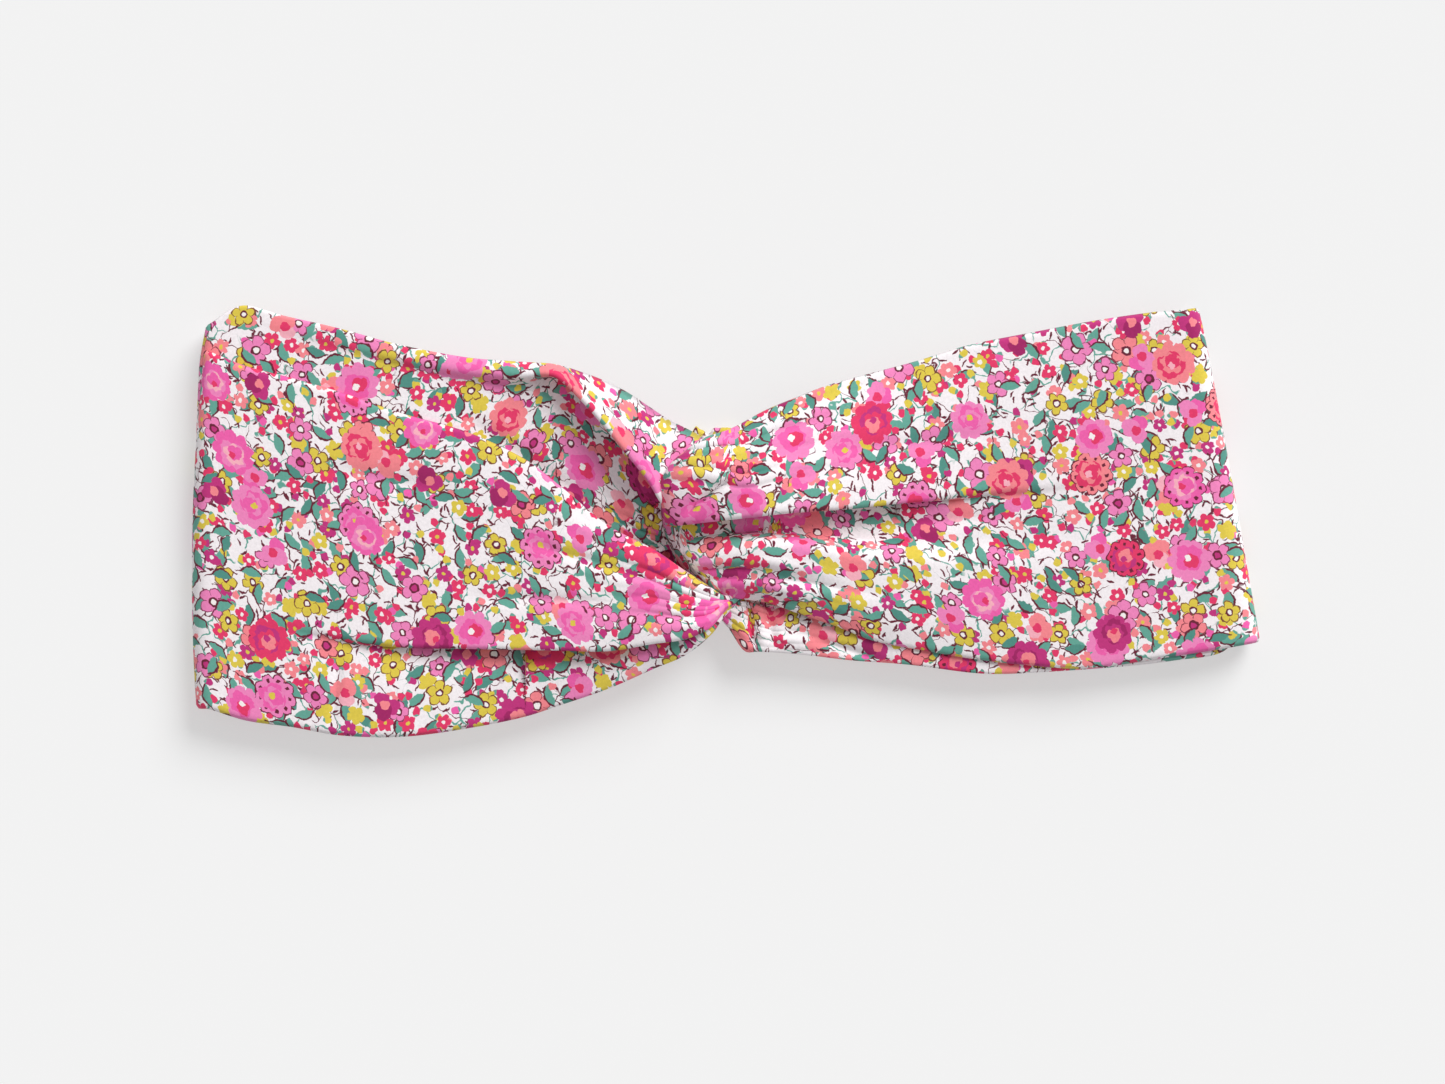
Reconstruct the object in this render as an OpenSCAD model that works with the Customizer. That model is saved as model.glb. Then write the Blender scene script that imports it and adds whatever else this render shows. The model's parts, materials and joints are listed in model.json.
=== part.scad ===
// Twist-front fabric headband, lying flat as a closed loop.
// The back of the loop is on the ground, the knotted front is on top.
// +X runs along the band, +Y towards its upper edge, +Z up.

/* [Band] */
// Length of the flattened loop, fold to fold
band_length = 240; // [220:1:250]
// Thickness of one pressed two-ply cloth tube
tube_t = 1.0; // [0.8:0.1:1.0]
// Clear height between the back and the front of the flattened loop
head_gap = 4.8; // [4.8:0.1:5.2]

/* [Elastic back] */
// Half length of the gathered casing
casing_half = 38; // [34:1:40]
// Width of the casing across the band
casing_w = 41; // [36:1:42]
// Width of the elastic strip inside the casing
elastic_w = 32; // [25:1:34]
// Thickness of the elastic strip
elastic_t = 0.9; // [0.6:0.1:1.0]
// Number of gathers along the casing
gather_count = 15; // [9:2:19]

/* [Knot] */
// Half width of a gathered bight where it crosses the other one
bight_a = 5; // [4:0.5:5.5]
// Half height of a gathered bight
bight_b = 3; // [2.5:0.1:3.1]
// Height of the upper strand's middle
high_z = 17; // [17:0.2:18]

/* [Hidden] */
$fn = 48;
half = band_length / 2;
ply_gap = 0.1;                            // between stacked tubes of one side
stack_t = 2 * tube_t + ply_gap;           // both tubes of a side
front_z = stack_t + head_gap;             // underside of the front
top_z = front_z + stack_t;                // upper face of the flat front
mid_z = top_z / 2;                        // height of the end folds' axes
fold_r = top_z / 2;                       // outer radius of an end fold
flex_gap = 0.3;                           // half the gap at each flex line
fold_clear = fold_r + 0.1;                // front panels stop this far inboard
flex_span = 57.8;                         // flex line to end fold axis
right_turn = 9.83;                        // the right side runs up by this angle
seam_w = 2.6;                             // seam allowance bar
knot_edge = 24;                           // wings stop at this x, bights begin
stitch_d = 0.5;                           // thread of the stitch rows
strand_gap = 0.8;                         // between the strands where they cross
bight_sides = 16;
steps_per_leg = 5;

left_u = half - fold_r;                   // end fold axis from the origin
left_flex = left_u - flex_span;
right_low = -47.1;                        // right outer fold, lower end
right_high = 29;                          // right outer fold, upper end
right_u = (half + right_low * sin(right_turn)) / cos(right_turn) - fold_r;
right_flex = right_u - flex_span;

cloth = [0.90, 0.55, 0.66];
cloth_in = [0.94, 0.80, 0.84];
elastic_white = [0.95, 0.94, 0.92];
thread = [0.97, 0.92, 0.93];

// Outlines of the flat tubes, seen from above, for the left side with x reversed
// and for the right side in its own turned frame: [distance, height across].
left_outer_top = [[24, -3], [37, 8], [45, 14], [58, 20], [72, 24], [99, 32.5], [115.8, 38]];
left_outer_bottom = [[24, -36.5], [46, -44], [64, -47.6], [78, -48.5], [98, -46], [115.8, -42]];
left_inner_top = [[24, 30], [38, 35], [52, 36], [76, 40], [99, 46], [110.5, 48.5], [115.8, 40]];
left_inner_bottom = [[24, 8], [58, -14], [115.8, -32]];
right_outer_top = [[24, 25], [33, 26.8], [59, 29.4], [90, 30], [113.6, 29]];
right_outer_bottom = [[24, -29.5], [41, -37], [57, -42.3], [74, -46.2], [100, -47.1], [113.6, -47.1]];
right_inner_top = [[24, -12], [55, -6], [90, 8], [113.6, 14]];
right_inner_bottom = [[24, -34.5], [40, -38.5], [60, -44], [80, -47.6], [100, -48], [113.6, -45]];

// ---- outlines ----

function reversed(line) = [for (i = [len(line) - 1 : -1 : 0]) line[i]];

module leg_outline(top, bottom) polygon(concat(bottom, reversed(top)));

// A flat stretch of one tube between two distances from the origin
module leg_slab(top, bottom, from, to, z) {
  translate([0, 0, z]) linear_extrude(tube_t) intersection() {
    leg_outline(top, bottom);
    translate([from, -80]) square([to - from, 160]);
  }
}

// A gathered back panel: narrow at the seam, as wide as the leg at the flex line
module back_slab(seam_x, flex_u, low, high, turn, z) {
  c = cos(turn);
  s = sin(turn);
  flex_at = flex_u - flex_gap;
  translate([0, 0, z]) linear_extrude(tube_t) polygon([
    [seam_x, -casing_w / 2 + 0.5],
    [flex_at * c - low * s, flex_at * s + low * c],
    [flex_at * c - high * s, flex_at * s + high * c],
    [seam_x, casing_w / 2 - 0.5]]);
}

// A side panel of the back, with the half-round end fold at its outer end
module side_back_slab(flex_u, fold_u, flex_low, flex_high, low, high, z) {
  outer = mid_z - z;
  union() {
    translate([0, 0, z]) linear_extrude(tube_t) polygon([
      [flex_u + flex_gap, flex_low], [fold_u, low], [fold_u, high], [flex_u + flex_gap, flex_high]]);
    translate([fold_u, high, mid_z]) rotate([90, 0, 0]) linear_extrude(high - low)
      intersection() {
        difference() {
          circle(outer);
          circle(outer - tube_t);
        }
        translate([0, -outer]) square([outer, 2 * outer]);
      }
  }
}

module left_side() mirror([1, 0, 0]) children();
module right_side() rotate([0, 0, right_turn]) children();

// ---- elastic back ----

gather_depth = 0.35;
casing_top = stack_t + 0.1;
tunnel_low = 0.6;
tunnel_high = tunnel_low + elastic_t + 0.2;

function gather_height(x) = casing_top - gather_depth + gather_depth * cos(x * 180 * gather_count / casing_half);

module casing() {
  crests = [for (i = [0 : 4 * gather_count]) -casing_half + i * casing_half / (2 * gather_count)];
  color(cloth) difference() {
    translate([0, casing_w / 2, 0]) rotate([90, 0, 0]) linear_extrude(casing_w)
      polygon(concat([[casing_half, 0], [-casing_half, 0]], [for (x = crests) [x, gather_height(x)]]));
    translate([-casing_half - 1, -elastic_w / 2 - 0.5, tunnel_low])
      cube([2 * casing_half + 2, elastic_w + 1, tunnel_high - tunnel_low]);
  }
}

module elastic_strip() {
  reach = casing_half - 0.5;
  color(elastic_white) translate([-reach, -elastic_w / 2, tunnel_low + 0.1])
    cube([2 * reach, elastic_w, elastic_t]);
}

// Two rows of running stitches close the casing along its edges
module casing_hem_stitches() {
  pitch = casing_half / gather_count;
  color(thread) for (side = [-1, 1], i = [0 : 2 * gather_count - 2])
    translate([-casing_half + (i + 0.7) * pitch, side * (casing_w / 2 - 1.6), casing_top + stitch_d / 2 + 0.02])
      rotate([0, 90, 0]) cylinder(d = stitch_d, h = pitch * 0.6, $fn = 13);
}

// ---- seams, made alike on both sides ----

seam_x = casing_half + 0.3;

module seam() {
  color(cloth_in) difference() {
    translate([seam_x, -casing_w / 2, 0]) cube([seam_w, casing_w, stack_t]);
    translate([seam_x - 1, -elastic_w / 2 - 0.5, tunnel_low])
      cube([seam_w + 2, elastic_w + 1, tunnel_high - tunnel_low]);
  }
}

module seam_stitches() {
  count = 9;
  pitch = (casing_w - 5) / (count - 1);
  color(thread) for (i = [0 : count - 1])
    translate([seam_x + seam_w / 2, -casing_w / 2 + 1.2 + i * pitch, stack_t + stitch_d / 2 + 0.02])
      rotate([-90, 0, 0]) cylinder(d = stitch_d, h = pitch * 0.6, $fn = 13);
}

// The end of the elastic, doubled and caught in the seam
module elastic_tack() {
  color(elastic_white) translate([seam_x + 0.1, -elastic_w / 2, tunnel_low + 0.1])
    cube([seam_w - 0.3, elastic_w, elastic_t]);
}

panel_x = seam_x + seam_w + 0.1;

// ---- knot ----

// Stations of a bight: [x, y, z, half width, half height], from the outer leg round to the inner leg
low_z = high_z - 2 * bight_b - strand_gap;
bight_mid = (high_z + low_z) / 2;
outer_leg_z = front_z + stack_t - tube_t / 2;
inner_leg_z = front_z + tube_t / 2;
stations = [
  [-knot_edge + 1, -18, outer_leg_z, 15, tube_t / 2],
  [-16, -17.8, 11.6, 10.5, 1.6],
  [-8, -16.6, 14.8, 7.5, 2.5],
  [0, -13.5, high_z, bight_a + 0.5, bight_b],
  [6.5, -8, high_z - 0.9, bight_a, bight_b],
  [9, 0, bight_mid, bight_a, bight_b + 0.2],
  [6.5, 8, low_z + 0.9, bight_a, bight_b],
  [0, 13.5, low_z, bight_a + 0.5, bight_b],
  [-8, 17, low_z - 0.2, bight_a + 1.5, bight_b - 0.3],
  [-16, 19.8, front_z + 2.1, bight_a + 3, 1.6],
  [-knot_edge + 1, 20, inner_leg_z, 9, tube_t / 2]];

// Catmull-Rom interpolation of the stations
function spline(a, b, c, d, t) = b + 0.5 * t * (c - a
  + t * (2 * a - 5 * b + 4 * c - d + t * (3 * (b - c) + d - a)));
function station(i) = stations[max(0, min(len(stations) - 1, i))];
route = concat(
  [for (i = [0 : len(stations) - 2], k = [0 : steps_per_leg - 1])
    spline(station(i - 1), station(i), station(i + 1), station(i + 2), k / steps_per_leg)],
  [station(len(stations) - 1)]);

function heading(i) = let(
    a = route[max(0, i - 1)],
    b = route[min(len(route) - 1, i + 1)])
  atan2(b[1] - a[1], b[0] - a[0]);
function ring(i) = let(p = route[i], h = heading(i)) [for (k = [0 : bight_sides - 1])
  let(q = 360 * k / bight_sides, across = p[3] * cos(q))
  [p[0] - sin(h) * across, p[1] + cos(h) * across, p[2] + p[4] * sin(q)]];

module bight() {
  rings = len(route);
  points = [for (i = [0 : rings - 1]) each ring(i)];
  walls = [for (i = [0 : rings - 2], k = [0 : bight_sides - 1]) let(n = (k + 1) % bight_sides)
    [i * bight_sides + k, (i + 1) * bight_sides + k, (i + 1) * bight_sides + n, i * bight_sides + n]];
  first = [for (k = [0 : bight_sides - 1]) k];
  last = [for (k = [bight_sides - 1 : -1 : 0]) (rings - 1) * bight_sides + k];
  polyhedron(points, concat(walls, [first, last]), convexity = 6);
}

// ---- left side ----

module left_outer_back() color(cloth) left_side() back_slab(panel_x, left_flex, -31, 29, 0, 0);
module left_inner_back() color(cloth) left_side() back_slab(panel_x, left_flex, -24, 33, 0, tube_t + ply_gap);
module left_seam() left_side() seam();
module left_seam_stitches() left_side() seam_stitches();
module left_elastic_tack() left_side() elastic_tack();
module left_outer_side_back() color(cloth) left_side()
  side_back_slab(left_flex, left_u, -31, 29, -42, 38, 0);
module left_inner_side_back() color(cloth) left_side()
  side_back_slab(left_flex, left_u, -24, 33, -32, 40, tube_t + ply_gap);
module left_outer_side_front() color(cloth) left_side()
  leg_slab(left_outer_top, left_outer_bottom, left_flex + flex_gap, left_u - fold_clear, top_z - tube_t);
module left_inner_side_front() color(cloth) left_side()
  leg_slab(left_inner_top, left_inner_bottom, left_flex + flex_gap, left_u - fold_clear, front_z);
module left_outer_wing() color(cloth) left_side()
  leg_slab(left_outer_top, left_outer_bottom, knot_edge, left_flex - flex_gap, top_z - tube_t);
module left_inner_wing() color(cloth) left_side()
  leg_slab(left_inner_top, left_inner_bottom, knot_edge, left_flex - flex_gap, front_z);
module left_bight() color(cloth) bight();

// ---- right side ----

module right_outer_back() color(cloth) back_slab(panel_x, right_flex, -36, 22, right_turn, 0);
module right_inner_back() color(cloth)
  back_slab(panel_x, right_flex, -38, 16, right_turn, tube_t + ply_gap);
module right_seam() seam();
module right_seam_stitches() seam_stitches();
module right_elastic_tack() elastic_tack();
module right_outer_side_back() color(cloth) right_side()
  side_back_slab(right_flex, right_u, -36, 22, right_low, right_high, 0);
module right_inner_side_back() color(cloth) right_side()
  side_back_slab(right_flex, right_u, -38, 16, -45, 14, tube_t + ply_gap);
module right_outer_side_front() color(cloth) right_side()
  leg_slab(right_outer_top, right_outer_bottom, right_flex + flex_gap, right_u - fold_clear, top_z - tube_t);
module right_inner_side_front() color(cloth) right_side()
  leg_slab(right_inner_top, right_inner_bottom, right_flex + flex_gap, right_u - fold_clear, front_z);
module right_outer_wing() color(cloth) right_side()
  leg_slab(right_outer_top, right_outer_bottom, knot_edge + 6, right_flex - flex_gap, top_z - tube_t);
module right_inner_wing() color(cloth) right_side()
  leg_slab(right_inner_top, right_inner_bottom, knot_edge + 6, right_flex - flex_gap, front_z);
module right_bight() color(cloth) rotate([0, 0, 180]) bight();

casing();
elastic_strip();
casing_hem_stitches();
left_outer_back();
left_inner_back();
left_seam();
left_seam_stitches();
left_elastic_tack();
left_outer_side_back();
left_inner_side_back();
left_outer_side_front();
left_inner_side_front();
left_outer_wing();
left_inner_wing();
left_bight();
right_outer_back();
right_inner_back();
right_seam();
right_seam_stitches();
right_elastic_tack();
right_outer_side_back();
right_inner_side_back();
right_outer_side_front();
right_inner_side_front();
right_outer_wing();
right_inner_wing();
right_bight();
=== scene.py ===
import json
import math

import bmesh
import bpy
import numpy as np
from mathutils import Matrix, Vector, noise


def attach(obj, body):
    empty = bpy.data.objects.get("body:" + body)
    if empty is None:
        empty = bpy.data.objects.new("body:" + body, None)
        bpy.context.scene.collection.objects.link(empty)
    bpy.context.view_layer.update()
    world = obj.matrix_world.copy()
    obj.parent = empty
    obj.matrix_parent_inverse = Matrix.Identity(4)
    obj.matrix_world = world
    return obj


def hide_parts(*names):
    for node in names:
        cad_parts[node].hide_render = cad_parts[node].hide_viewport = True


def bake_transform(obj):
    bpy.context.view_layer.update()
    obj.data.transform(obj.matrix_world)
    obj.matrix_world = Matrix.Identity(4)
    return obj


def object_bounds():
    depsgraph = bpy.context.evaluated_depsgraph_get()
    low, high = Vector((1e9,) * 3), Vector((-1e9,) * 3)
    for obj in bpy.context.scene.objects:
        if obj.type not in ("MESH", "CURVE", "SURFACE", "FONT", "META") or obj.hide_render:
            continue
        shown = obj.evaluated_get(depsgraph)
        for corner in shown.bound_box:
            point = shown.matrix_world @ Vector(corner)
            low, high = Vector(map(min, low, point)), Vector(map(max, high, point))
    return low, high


mm = 0.001

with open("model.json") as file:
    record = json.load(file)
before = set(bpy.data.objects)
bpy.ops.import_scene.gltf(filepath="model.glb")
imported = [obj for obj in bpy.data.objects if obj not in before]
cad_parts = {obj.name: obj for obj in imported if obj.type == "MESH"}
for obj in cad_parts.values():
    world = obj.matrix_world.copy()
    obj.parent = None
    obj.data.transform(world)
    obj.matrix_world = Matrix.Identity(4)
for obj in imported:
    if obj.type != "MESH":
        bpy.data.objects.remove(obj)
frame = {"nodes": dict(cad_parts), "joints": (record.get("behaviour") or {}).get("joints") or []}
cadBox = [list(corner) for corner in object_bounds()]
print("frame loaded")


cameraPlan = {
    "aim": (-0.6 * mm, -4.7 * mm),  # the point of the table that it looks straight down on
    "height": 0.905,
    "lens": 100,
}
cameraData = bpy.data.cameras.new("camera")
cameraData.lens = cameraPlan["lens"]
cameraData.sensor_width = 36
camera = bpy.data.objects.new("camera", cameraData)
camera.location = (*cameraPlan["aim"], cameraPlan["height"])
bpy.context.scene.collection.objects.link(camera)
bpy.context.scene.camera = camera


def linear(red, green, blue):
    def one(value):
        value /= 255
        return value / 12.92 if value <= 0.04045 else ((value + 0.055) / 1.055) ** 2.4
    return (one(red), one(green), one(blue), 1)


class Wires:
    def __init__(self, tree):
        self.tree = tree

    def node(self, kind, inputs=(), **settings):
        made = self.tree.nodes.new(kind)
        for name, value in settings.items():
            setattr(made, name, value)
        for key, value in dict(inputs).items():
            self.feed(made.inputs[key], value)
        return made

    def feed(self, socket, value):
        if isinstance(value, bpy.types.NodeSocket):
            self.tree.links.new(value, socket)
        else:
            socket.default_value = value

    def math(self, operation, first, second=0.0, third=0.0):
        return self.node("ShaderNodeMath", {0: first, 1: second, 2: third}, operation=operation).outputs[0]

    def add(self, first, second):
        return self.math("ADD", first, second)

    def sub(self, first, second):
        return self.math("SUBTRACT", first, second)

    def mul(self, first, second):
        return self.math("MULTIPLY", first, second)

    def most(self, first, second):
        return self.math("MAXIMUM", first, second)

    def inside(self, distance, soft=0.12):
        # 1 where the distance is positive, with a soft printed edge
        return self.node("ShaderNodeMath", {0: distance, 1: 1 / soft, 2: 0.5},
                         operation="MULTIPLY_ADD", use_clamp=True).outputs[0]

    def mix(self, mask, under, over):
        made = self.node("ShaderNodeMix", data_type="RGBA")
        self.feed(made.inputs["Factor"], mask)
        self.feed(made.inputs[6], under)
        self.feed(made.inputs[7], over)
        return made.outputs[2]

    def pick(self, value, colours):
        # one of several flat colours, chosen by a random value
        ramp = self.node("ShaderNodeValToRGB", {0: value})
        ramp.color_ramp.interpolation = "CONSTANT"
        while len(ramp.color_ramp.elements) < len(colours):
            ramp.color_ramp.elements.new(0.5)
        for place, colour in enumerate(colours):
            ramp.color_ramp.elements[place].position = place / len(colours)
            ramp.color_ramp.elements[place].color = colour
        return ramp.outputs[0]

    def shift(self, vector, by):
        return self.node("ShaderNodeVectorMath", {0: vector, 1: by}, operation="ADD").outputs[0]

    def less(self, vector, by):
        return self.node("ShaderNodeVectorMath", {0: vector, 1: by}, operation="SUBTRACT").outputs[0]

    def grow(self, vector, by):
        return self.node("ShaderNodeVectorMath", {0: vector, "Scale": by}, operation="SCALE").outputs[0]

    def wander(self, vector, noise, by):
        # a place moved about by a coloured noise
        centred = self.less(noise, (0.5, 0.5, 0.5))
        return self.node("ShaderNodeVectorMath", {0: centred, 1: by, 2: vector},
                         operation="MULTIPLY_ADD").outputs[0]

    def split(self, vector):
        return self.node("ShaderNodeSeparateXYZ", {0: vector}).outputs

    def join(self, x, y, z=0.0):
        return self.node("ShaderNodeCombineXYZ", {0: x, 1: y, 2: z}).outputs[0]


def newGroup(name, inputs, outputs):
    tree = bpy.data.node_groups.new(name, "ShaderNodeTree")
    for label, kind in inputs:
        tree.interface.new_socket(label, in_out="INPUT", socket_type=kind)
    for label, kind in outputs:
        tree.interface.new_socket(label, in_out="OUTPUT", socket_type=kind)
    wires = Wires(tree)
    return tree, wires, tree.nodes.new("NodeGroupInput").outputs, tree.nodes.new("NodeGroupOutput").inputs


number, vector, colour = "NodeSocketFloat", "NodeSocketVector", "NodeSocketColor"


# Scatter: each point gets its place seen from the nearest motif's middle, turned at random
def makeScatter():
    tree, w, given, out = newGroup(
        "motifScatter",
        [("Vector", vector), ("Spacing", number), ("Offset", number), ("Looseness", number)],
        [("Local", vector), ("Pick", number), ("Chance", number), ("Size", number)])
    moved = w.shift(given["Vector"], w.join(given["Offset"], given["Offset"]))
    cells = w.node("ShaderNodeTexVoronoi", {
        "Vector": moved, "Scale": w.math("DIVIDE", 1.0, given["Spacing"]), "Randomness": given["Looseness"]},
        voronoi_dimensions="2D", feature="F1")
    away = w.less(moved, cells.outputs["Position"])
    chances = w.node("ShaderNodeSeparateColor", {0: cells.outputs["Color"]}).outputs
    turned = w.node("ShaderNodeVectorRotate", {
        "Vector": away, "Angle": w.mul(chances[0], 2 * math.pi)}, rotation_type="Z_AXIS").outputs[0]
    w.feed(out["Local"], turned)
    w.feed(out["Pick"], chances[1])
    w.feed(out["Chance"], chances[2])
    w.feed(out["Size"], w.math("FRACT", w.mul(chances[1], 7.31)))
    return tree


# Petals: how far inside a flower's outline a point is, with its radius and its angle
def makePetals():
    tree, w, given, out = newGroup(
        "petals",
        [("Local", vector), ("Count", number), ("Radius", number), ("Depth", number)],
        [("Inside", number), ("Radius", number), ("Lobe", number)])
    x, y, _ = w.split(given["Local"])
    radius = w.math("SQRT", w.add(w.mul(x, x), w.mul(y, y)))
    turn = w.mul(w.math("ARCTAN2", y, x), w.mul(given["Count"], 0.5))
    lobe = w.math("POWER", w.math("ABSOLUTE", w.math("COSINE", turn)), 0.6)
    reach = w.mul(given["Radius"], w.add(w.sub(1.0, given["Depth"]), w.mul(lobe, given["Depth"])))
    w.feed(out["Inside"], w.sub(reach, radius))
    w.feed(out["Radius"], radius)
    w.feed(out["Lobe"], lobe)
    return tree


scatterGroup = makeScatter()
petalGroup = makePetals()

ink = {
    "ground": linear(250, 243, 246),
    "magenta": linear(197, 52, 126),
    "plum": linear(166, 36, 102),
    "crimson": linear(232, 58, 106),
    "coral": linear(250, 138, 146),
    "orchid": linear(244, 136, 192),
    "pink": linear(243, 98, 174),
    "blush": linear(252, 180, 194),
    "yellow": linear(226, 203, 76),
    "teal": linear(102, 168, 152),
    "pine": linear(82, 146, 134),
    "maroon": linear(108, 34, 54),
    "white": linear(252, 246, 244),
}


def inks(names):
    return [ink[name] for name in names.split()]


def scatter(w, place, spacing, offset, looseness):
    made = w.node("ShaderNodeGroup", node_tree=scatterGroup)
    for key, value in (("Vector", place), ("Spacing", spacing), ("Offset", offset), ("Looseness", looseness)):
        w.feed(made.inputs[key], value)
    return made.outputs


def petals(w, local, count, radius, depth):
    made = w.node("ShaderNodeGroup", node_tree=petalGroup)
    for key, value in (("Local", local), ("Count", count), ("Radius", radius), ("Depth", depth)):
        w.feed(made.inputs[key], value)
    return made.outputs


def kept(w, chance, share):
    # 1 for that share of the motifs, 0 for the rest
    return w.math("LESS_THAN", chance, share)


def leafLayer(w, under, place, spacing, offset, length, width, share):
    spots = scatter(w, place, spacing, offset, 0.8)
    x, y, _ = w.split(spots["Local"])
    bent = w.add(y, w.mul(w.mul(x, x), 0.05))
    along = w.math("DIVIDE", x, length / 2)
    girth = w.mul(w.most(w.sub(1.0, w.mul(along, along)), 0.0), width / 2)
    inside = w.sub(girth, w.math("ABSOLUTE", bent))
    here = kept(w, spots["Chance"], share)
    leaf = w.mul(w.inside(inside, 0.15), here)
    tone = w.pick(spots["Size"], inks("teal teal pine"))
    result = w.mix(leaf, under, tone)
    # a maroon line along one side and a short stalk
    rim = w.mul(w.inside(w.sub(0.28, w.math("ABSOLUTE", w.sub(w.sub(girth, bent), 0.05)))),
                w.inside(w.sub(length / 2, w.math("ABSOLUTE", x))))
    result = w.mix(w.mul(w.mul(rim, here), w.inside(girth, 0.3)), result, ink["maroon"])
    stalk = w.mul(w.inside(w.sub(0.17, w.math("ABSOLUTE", bent))),
                  w.inside(w.sub(length * 0.2, w.math("ABSOLUTE", w.sub(x, length * 0.62)))))
    return w.mix(w.mul(stalk, here), result, ink["maroon"])


def tickLayer(w, under, place, spacing, offset, length, share):
    spots = scatter(w, place, spacing, offset, 0.9)
    x, y, _ = w.split(spots["Local"])
    bent = w.math("ABSOLUTE", w.add(y, w.mul(w.mul(x, x), 0.12)))
    taper = w.sub(0.30, w.mul(w.math("ABSOLUTE", x), 0.14))
    tick = w.mul(w.inside(w.sub(taper, bent)), w.inside(w.sub(length / 2, w.math("ABSOLUTE", x))))
    return w.mix(w.mul(tick, kept(w, spots["Chance"], share)), under, ink["maroon"])


def stemLayer(w, under, place, spacing, offset, width, tone):
    # thin wandering stems along the borders of large cells
    wobble = w.node("ShaderNodeTexNoise", {"Vector": place, "Scale": 0.22, "Detail": 1.0},
                    noise_dimensions="2D").outputs["Color"]
    moved = w.shift(w.wander(place, wobble, (5.0, 5.0, 0.0)), (offset, offset, 0))
    border = w.node("ShaderNodeTexVoronoi", {"Vector": moved, "Scale": 1 / spacing, "Randomness": 1.0},
                    voronoi_dimensions="2D", feature="DISTANCE_TO_EDGE").outputs["Distance"]
    line = w.inside(w.sub(width / 2, w.mul(border, spacing)))
    gaps = w.node("ShaderNodeTexNoise", {"Vector": moved, "Scale": 0.13, "Detail": 0.0},
                  noise_dimensions="2D").outputs[0]
    return w.mix(w.mul(line, w.inside(w.sub(gaps, 0.46), 0.05)), under, tone)


def budLayer(w, under, place, spacing, offset, radius, tones, share):
    spots = scatter(w, place, spacing, offset, 0.85)
    x, y, _ = w.split(spots["Local"])
    long = w.math("SQRT", w.add(w.mul(w.mul(x, x), 0.5), w.mul(y, y)))
    bud = w.mul(w.inside(w.sub(radius, long)), kept(w, spots["Chance"], share))
    result = w.mix(bud, under, w.pick(spots["Pick"], inks(tones)))
    cap = w.mul(bud, w.inside(w.sub(x, radius * 0.75)))
    return w.mix(cap, result, ink["teal"])


def flowerLayer(w, under, place, spacing, offset, radius, depth, tones, share,
                outline=0.0, eye=0.24, eyeTones="white yellow"):
    spots = scatter(w, place, spacing, offset, 0.6)
    shape = petals(w, spots["Local"], 5.0, w.mul(w.add(0.85, w.mul(spots["Size"], 0.3)), radius), depth)
    here = kept(w, spots["Chance"], share)
    body = w.mul(w.inside(shape["Inside"]), here)
    result = w.mix(body, under, w.pick(spots["Pick"], inks(tones)))
    if outline:
        ring = w.inside(w.sub(outline / 2, w.math("ABSOLUTE", w.sub(shape["Inside"], outline / 2))))
        split = w.mul(w.inside(w.sub(0.22, shape["Lobe"]), 0.1),
                      w.inside(w.sub(shape["Radius"], radius * 0.45)))
        result = w.mix(w.mul(w.mul(w.most(ring, split), body), 0.92), result, ink["maroon"])
    centre = w.mul(w.inside(w.sub(radius * eye, shape["Radius"])), here)
    if outline:
        rim = w.mul(w.inside(w.sub(radius * (eye + 0.14), shape["Radius"])), here)
        result = w.mix(rim, result, ink["maroon"])
    return w.mix(centre, result, w.pick(spots["Size"], inks(eyeTones)))


def roseLayer(w, under, place, spacing, offset, radius, share):
    # a rose: ragged rings of petals, each ring off the last one's middle
    spots = scatter(w, place, spacing, offset, 0.55)
    here = kept(w, spots["Chance"], share)
    rough = w.node("ShaderNodeTexNoise", {"Vector": spots["Local"], "Scale": 0.55, "Detail": 1.0},
                   noise_dimensions="2D").outputs[0]
    ragged = w.mul(w.sub(rough, 0.5), 2.6)
    outer = petals(w, spots["Local"], 9.0, radius, 0.2)
    outerTones = inks("orchid magenta coral orchid crimson pink")
    result = w.mix(w.mul(w.inside(w.add(outer["Inside"], w.mul(ragged, 0.3))), here), under,
                   w.pick(spots["Pick"], outerTones))
    # a dark scallop line and teardrops on some roses
    lined = w.mul(kept(w, spots["Size"], 0.16), here)
    ring = w.inside(w.sub(0.17, w.math("ABSOLUTE", w.add(w.sub(outer["Inside"], 0.1), w.mul(ragged, 0.3)))))
    result = w.mix(w.mul(ring, lined), result, ink["maroon"])
    drops = w.mul(w.inside(w.sub(outer["Lobe"], 0.93), 0.04),
                  w.inside(w.sub(0.45, w.math("ABSOLUTE", w.sub(outer["Radius"], radius * 0.7)))))
    result = w.mix(w.mul(drops, lined), result, ink["maroon"])
    rings = [
        # share of the rose's radius, petals, turn, tones
        (0.66, 4.0, 0.5, "pink plum crimson pink magenta orchid"),
        (0.5, 5.0, 1.4, "orchid magenta coral pink crimson blush"),
        (0.36, 3.0, 2.3, "pink coral crimson crimson coral pink"),
        (0.16, 4.0, 0.3, "yellow crimson blush white magenta crimson"),
    ]
    for ringShare, count, turn, tones in rings:
        local = w.node("ShaderNodeVectorRotate", {"Vector": spots["Local"], "Angle": turn},
                       rotation_type="Z_AXIS").outputs[0]
        swirl = w.shift(local, (radius * 0.09, -radius * 0.07, 0))
        inner = petals(w, swirl, count, radius * ringShare, 0.3)
        result = w.mix(w.mul(w.inside(w.add(inner["Inside"], w.mul(ragged, 0.45))), here), result,
                       w.pick(spots["Pick"], inks(tones)))
    return result


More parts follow.
